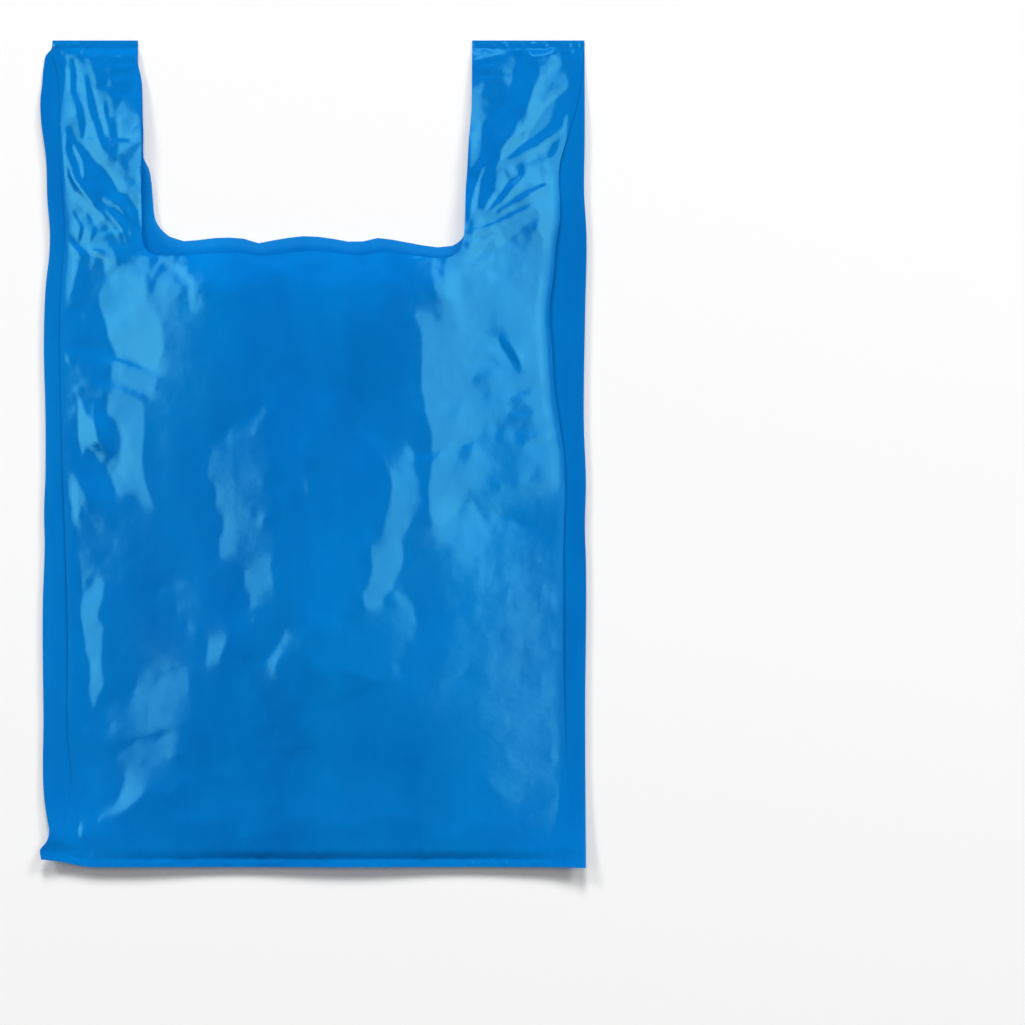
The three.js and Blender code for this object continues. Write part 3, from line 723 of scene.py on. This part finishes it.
def inner_height(x, y):
    """Middle of the pleat's upper film, which meets the front film at its fold."""
    share = mix(1.0, PLEAT_SHARE, smoothstep(from_folds(x, y), 0, PLEAT_SINK))
    pitch = pitch_at(y)
    return 2 * pitch + (front_height(x, y) - 3 * pitch) * share


def gathers(x):
    """Heights from 0 to 1 of the little pleats that run into a weld."""
    rng = np.random.default_rng(GATHER_SEED)
    knots = -BAG_LENGTH / 2 + np.cumsum(rng.uniform(*GATHER_WIDTHS, GATHERS))
    return np.interp(x, knots, rng.uniform(0, 1, GATHERS) ** 2)


def relief(x, y):
    """Height of the front film's facets, gathers and crimping over front_height."""
    inward = from_folds(x, y)
    away = np.minimum(*along_bag(y)) - WELD
    ready = smoothstep(inward, 0, FOLD_CLEAR) * smoothstep(away, -0.5, WELD_CLEAR)
    lowest = inner_height(x, y) + pitch_at(y) - front_height(x, y)  # where it would meet the pleat
    creased = np.maximum(facets(x, y) * ready, lowest)
    beside = smoothstep(away, 0, PUCKER_RISE) * (1 - smoothstep(away, PUCKER_RISE, PUCKER_REACH))
    pucker = mix(*PUCKER, smoothstep(y, 0, MOUTH)) * beside * smoothstep(inward, -0.5, 8)
    strip = smoothstep(away + WELD, *CRIMP_OUTER) * (1 - smoothstep(away, *CRIMP_INNER))
    crimp = CRIMP * strip * gathers(CRIMP_STRETCH * x + CRIMP_SHIFT)
    return creased + pucker * gathers(x) + crimp


def rim(away, rise, reach):
    """Height of a rim that curls up over that reach."""
    return rise * np.clip(1 - away / reach, 0, 1) ** 2


def bottom_curl(x, y):
    """How far the bottom weld stands off the surface, with all of the film at it."""
    low, _ = along_bag(y)
    share, number, phase = BOTTOM_WAVE
    return rim(low, BOTTOM_CURL * (1 - share + share * np.sin(x * number + phase)), BOTTOM_REACH)


def rim_curl(x, y):
    """How far the back film's sides and mouth stand off the surface."""
    _, high = along_bag(y)
    side = np.minimum(x - back_left(y), back_right(y) - x)
    mouth = np.maximum(mouth_away(x, y), 0)
    fade = smoothstep(high, 0, CURL_FADE)
    return rim(side, SIDE_CURL * fade, SIDE_REACH) + rim(mouth, MOUTH_CURL * fade, SIDE_REACH)


def fold_round(x, top, bottom, way):
    """Columns round a fold at x, from its top film to its bottom film, bulging out by way."""
    middle, radius = (top + bottom) / 2, (top - bottom) / 2
    reach = FOLD_BULGE * np.minimum(np.abs(radius), FOLD_BULGE_TALLEST)
    turns = [math.pi / 2 - math.pi * (i + 1) / (FOLD_COLUMNS + 1) for i in range(FOLD_COLUMNS)]
    return [(x + way * reach * math.cos(t), middle + radius * math.sin(t)) for t in turns]


def film_rows():
    """Places along the bag of the tube's rows, with close ones in the handles and at the welds."""
    half = BAG_LENGTH / 2
    inner, waist = half - WELD - END_INSET, MOUTH - HANDLE_ROWS_START
    body = np.linspace(-inner, waist, round((inner + waist) / ROW_STEP))
    handles = np.linspace(waist, inner, round((inner - waist) / HANDLE_ROW_STEP))[1:]
    end = np.linspace(inner, half, END_ROWS)[1:]
    return np.concatenate([-end[::-1], body, handles, end])


def spread(a, b, count, crowding=0.0):
    """Columns from a to b, with a few more close to the fold at each end."""
    t = np.linspace(0, 1, count + 1)
    t = t - crowding * np.sin(2 * math.pi * t) / (2 * math.pi)
    near = np.sign(b - a) * np.array(FOLD_STEPS)
    return np.concatenate([a, a + near, a + (b - a) * t[1:-1], b - near[:, ::-1], b], 1)


def film_tube():
    """Grid of the tube's places, row by row along the bag, and which columns are upper films."""
    y = film_rows()[:, None]
    pitch = pitch_at(y)
    fl, fr, bl, br = front_left(y), front_right(y), back_left(y), back_right(y)
    pl, pr = pleat_left(y), pleat_right(y)
    columns = []

    # Heights of the four films, from the lowest up, each clear of the one under it
    def back(x):
        return REST_GAP + rim_curl(x, y + 0 * x)

    def folded(x):
        return back(x) + pitch

    def upper(x):
        return np.maximum(inner_height(x, y + 0 * x), folded(x) + pitch)

    def front(x):
        return np.maximum(front_height(x, y) + relief(x, y + 0 * x), folded(x) + 2 * pitch)

    def panel(x, height, is_upper):
        z = height(x)
        columns.extend((x[:, i], z[:, i], is_upper) for i in range(x.shape[1]))

    def fold(x, top, bottom, way, is_upper):
        rounds = fold_round(x, top(x), bottom(x), way)
        columns.extend((a[:, 0], b[:, 0], is_upper) for a, b in rounds)

    panel(spread(fl, fr, FRONT_COLUMNS, FRONT_CROWDING), front, True)
    fold(fr, front, upper, 1, True)
    panel(spread(fr, pr, PLEAT_COLUMNS), upper, True)
    fold(pr, upper, folded, -1, False)
    panel(spread(pr, br, PLEAT_COLUMNS), folded, False)
    fold(br, folded, back, 1, False)
    panel(spread(br, bl, BACK_COLUMNS), back, False)
    fold(bl, back, folded, -1, False)
    panel(spread(bl, pl, PLEAT_COLUMNS), folded, False)
    fold(pl, folded, upper, 1, False)
    panel(spread(pl, fl, PLEAT_COLUMNS), upper, True)
    fold(fl, upper, front, -1, True)
    x = np.stack([c[0] for c in columns], 1)
    z = np.stack([c[1] for c in columns], 1)
    z = z + bottom_curl(x, y)
    return x, np.broadcast_to(y, x.shape), z, np.array([c[2] for c in columns])


def lay(x, y):
    """Flat bag to laid bag: its bottom left corner is drawn up."""
    low, _ = along_bag(y)
    corner = 1 - smoothstep(x - back_left(y), 0, CORNER_REACH)
    return y + CORNER_LIFT * corner * (1 - smoothstep(low, 0, CORNER_RISE))


def build_film():
    """The film as one surface, punched for the mouth."""
    x, y, z, upper = film_tube()
    rows, around = x.shape
    places = np.stack([x, lay(x, y), z], -1).reshape(-1, 3) * METRES
    i, j = np.meshgrid(np.arange(rows - 1), np.arange(around), indexing="ij")
    k = (j + 1) % around
    faces = np.stack([i * around + j, i * around + k, (i + 1) * around + k, (i + 1) * around + j], -1)
    mesh = bpy.data.meshes.new("carrier_bag_film")
    mesh.from_pydata(places.tolist(), [], faces.reshape(-1, 4).tolist())
    flat = np.stack([x.ravel(), y.ravel()], 1)
    rear, front = outside(flat, outline(REAR_MOUTH)), outside(flat, outline(FRONT_MOUTH))
    punch(mesh, np.where(np.tile(upper, rows), front, rear))
    return mesh


def punch(mesh, keep):
    """Cuts the mesh along the line where keep is zero and drops the part where it is negative."""
    bm = bmesh.new()
    bm.from_mesh(mesh)
    bm.verts.ensure_lookup_table()
    sign = {v: keep[v.index] for v in bm.verts}
    cut = {}  # keeps its order, so that every run makes the same mesh
    for edge in [e for e in bm.edges if sign[e.verts[0]] * sign[e.verts[1]] < 0]:
        a, b = edge.verts
        share = min(max(sign[a] / (sign[a] - sign[b]), CUT_MARGIN), 1 - CUT_MARGIN)
        _, new = bmesh.utils.edge_split(edge, a, share)
        sign[new] = 0.0
        cut[new] = True
    for face in dict.fromkeys(f for v in cut for f in v.link_faces):
        ends = [v for v in face.verts if v in cut]
        if len(ends) == 2:
            bmesh.utils.face_split(face, *ends)
    bmesh.ops.delete(bm, geom=[v for v in bm.verts if sign[v] < 0], context="VERTS")
    bmesh.ops.recalc_face_normals(bm, faces=bm.faces)
    for face in bm.faces:
        face.smooth = True
    bm.to_mesh(mesh)
    bm.free()


def node(tree, kind, **settings):
    """A new node, with settings given by the name of a property or an input."""
    made = tree.nodes.new(kind)
    for name, value in settings.items():
        if hasattr(made, name):
            setattr(made, name, value)
        else:
            made.inputs[name.replace("_", " ")].default_value = value
    return made


def film_material():
    """Thin tinted film: gloss over a clouded body colour, and some light let straight through."""
    material = bpy.data.materials.new("blue_film")
    material.use_nodes = True
    tree = material.node_tree
    link = tree.links.new
    shader = tree.nodes["Principled BSDF"]
    place = node(tree, "ShaderNodeTexCoord")
    streaks = node(tree, "ShaderNodeMapping")
    streaks.inputs["Scale"].default_value = (1.0, 0.35, 1.0)
    link(place.outputs["Object"], streaks.inputs["Vector"])
    cloud = node(tree, "ShaderNodeTexNoise", Scale=14.0, Detail=4.0, Roughness=0.6)
    link(streaks.outputs["Vector"], cloud.inputs["Vector"])
    tint = node(tree, "ShaderNodeValToRGB")
    tint.color_ramp.elements[0].position = 0.3
    tint.color_ramp.elements[0].color = (0.0, 0.175, 0.61, 1)
    tint.color_ramp.elements[1].position = 0.75
    tint.color_ramp.elements[1].color = (0.0, 0.26, 0.76, 1)
    link(cloud.outputs["Fac"], tint.inputs["Fac"])
    link(tint.outputs["Color"], shader.inputs["Base Color"])
    shader.inputs["Roughness"].default_value = 0.14
    shader.inputs["Specular IOR Level"].default_value = 1.0
    shader.inputs["IOR"].default_value = 1.7
    shader.inputs["Specular Tint"].default_value = (0.18, 0.93, 1.0, 1)
    strokes = node(tree, "ShaderNodeMapping")
    strokes.inputs["Scale"].default_value = (0.6, 1.3, 1.0)
    link(place.outputs["Object"], strokes.inputs["Vector"])
    fine = node(tree, "ShaderNodeTexNoise", Scale=210.0, Detail=4.0, Roughness=0.6)
    link(strokes.outputs["Vector"], fine.inputs["Vector"])
    bump = node(tree, "ShaderNodeBump", Strength=0.07, Distance=0.0012)
    link(fine.outputs["Fac"], bump.inputs["Height"])
    link(bump.outputs["Normal"], shader.inputs["Normal"])
    through = node(tree, "ShaderNodeBsdfTransparent")
    through.inputs["Color"].default_value = (0.05, 0.42, 0.85, 1)
    mixed = node(tree, "ShaderNodeMixShader", Fac=0.15)
    link(shader.outputs["BSDF"], mixed.inputs[1])
    link(through.outputs["BSDF"], mixed.inputs[2])
    link(mixed.outputs["Shader"], tree.nodes["Material Output"].inputs["Surface"])
    return material


def dress_bag():
    """Puts the film in the place of the solid bag."""
    bag = bpy.data.objects.new("carrier_bag_film", build_film())
    bpy.context.collection.objects.link(bag)
    bag.data.materials.append(film_material())
    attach(bag, "root")
    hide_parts("carrier_bag")


def floor():
    """The white ground, just under the bag."""
    bpy.ops.mesh.primitive_plane_add(size=FLOOR_SIZE, location=(0, 0, -FLOOR_DROP))
    ground = bpy.context.object
    ground.name = "floor"
    material = bpy.data.materials.new("white_ground")
    material.use_nodes = True
    shader = material.node_tree.nodes["Principled BSDF"]
    shader.inputs["Base Color"].default_value = (0.915, 0.915, 0.915, 1)
    shader.inputs["Roughness"].default_value = 0.9
    shader.inputs["Specular IOR Level"].default_value = 0.1
    ground.data.materials.append(material)


def softbox(name, across, along, radiance):
    """A softbox that faces straight down, over a range across the bag and one along it."""
    light = bpy.data.lights.new(name, "AREA")
    light.shape = "RECTANGLE"
    light.size, light.size_y = across[1] - across[0], along[1] - along[0]
    light.energy = radiance * math.pi * light.size * light.size_y
    lamp = bpy.data.objects.new(name, light)
    lamp.location = (sum(across) / 2, sum(along) / 2, BOX_HEIGHT)
    bpy.context.collection.objects.link(lamp)


def low_light(name, bearing, power):
    """A soft light from a bearing and a lean off the vertical, which throws a shadow past the bag."""
    light = bpy.data.lights.new(name, "AREA")
    light.size = LOW_SIZE
    light.energy = power
    lamp = bpy.data.objects.new(name, light)
    bearing, lean = math.radians(bearing), math.radians(LOW_LEAN)
    across = LOW_DISTANCE * math.sin(lean)
    height = LOW_DISTANCE * math.cos(lean)
    lamp.location = (across * math.cos(bearing), across * math.sin(bearing), height)
    lamp.rotation_euler = (-lamp.location).to_track_quat("-Z", "Y").to_euler()
    lamp.visible_glossy = False  # its mirror image would bleach the film at a low angle
    bpy.context.collection.objects.link(lamp)


def studio():
    """Softboxes that the creases mirror, low lights and a dim world."""
    world = bpy.data.worlds.new("studio")
    world.use_nodes = True
    world.node_tree.nodes["Background"].inputs["Color"].default_value = (1, 1, 1, 1)
    world.node_tree.nodes["Background"].inputs["Strength"].default_value = 0.05
    bpy.context.scene.world = world
    for box in SOFTBOXES:
        softbox(*box)
    for light in LOW_LIGHTS:
        low_light(*light)
    bpy.context.scene.view_settings.view_transform = "Standard"


def camera():
    """Straight down over the middle of the photograph's frame."""
    lens = bpy.data.cameras.new("camera")
    lens.lens = 85
    lens.sensor_width = 36
    across = PHOTO_SIDE * PIXEL * METRES
    eye = bpy.data.objects.new("camera", lens)
    x, y = from_photo((PHOTO_SIDE / 2, PHOTO_SIDE / 2)) * METRES
    eye.location = (x, y, across * lens.lens / lens.sensor_width)
    bpy.context.collection.objects.link(eye)
    bpy.context.scene.camera = eye


dress_bag()
floor()
studio()
camera()
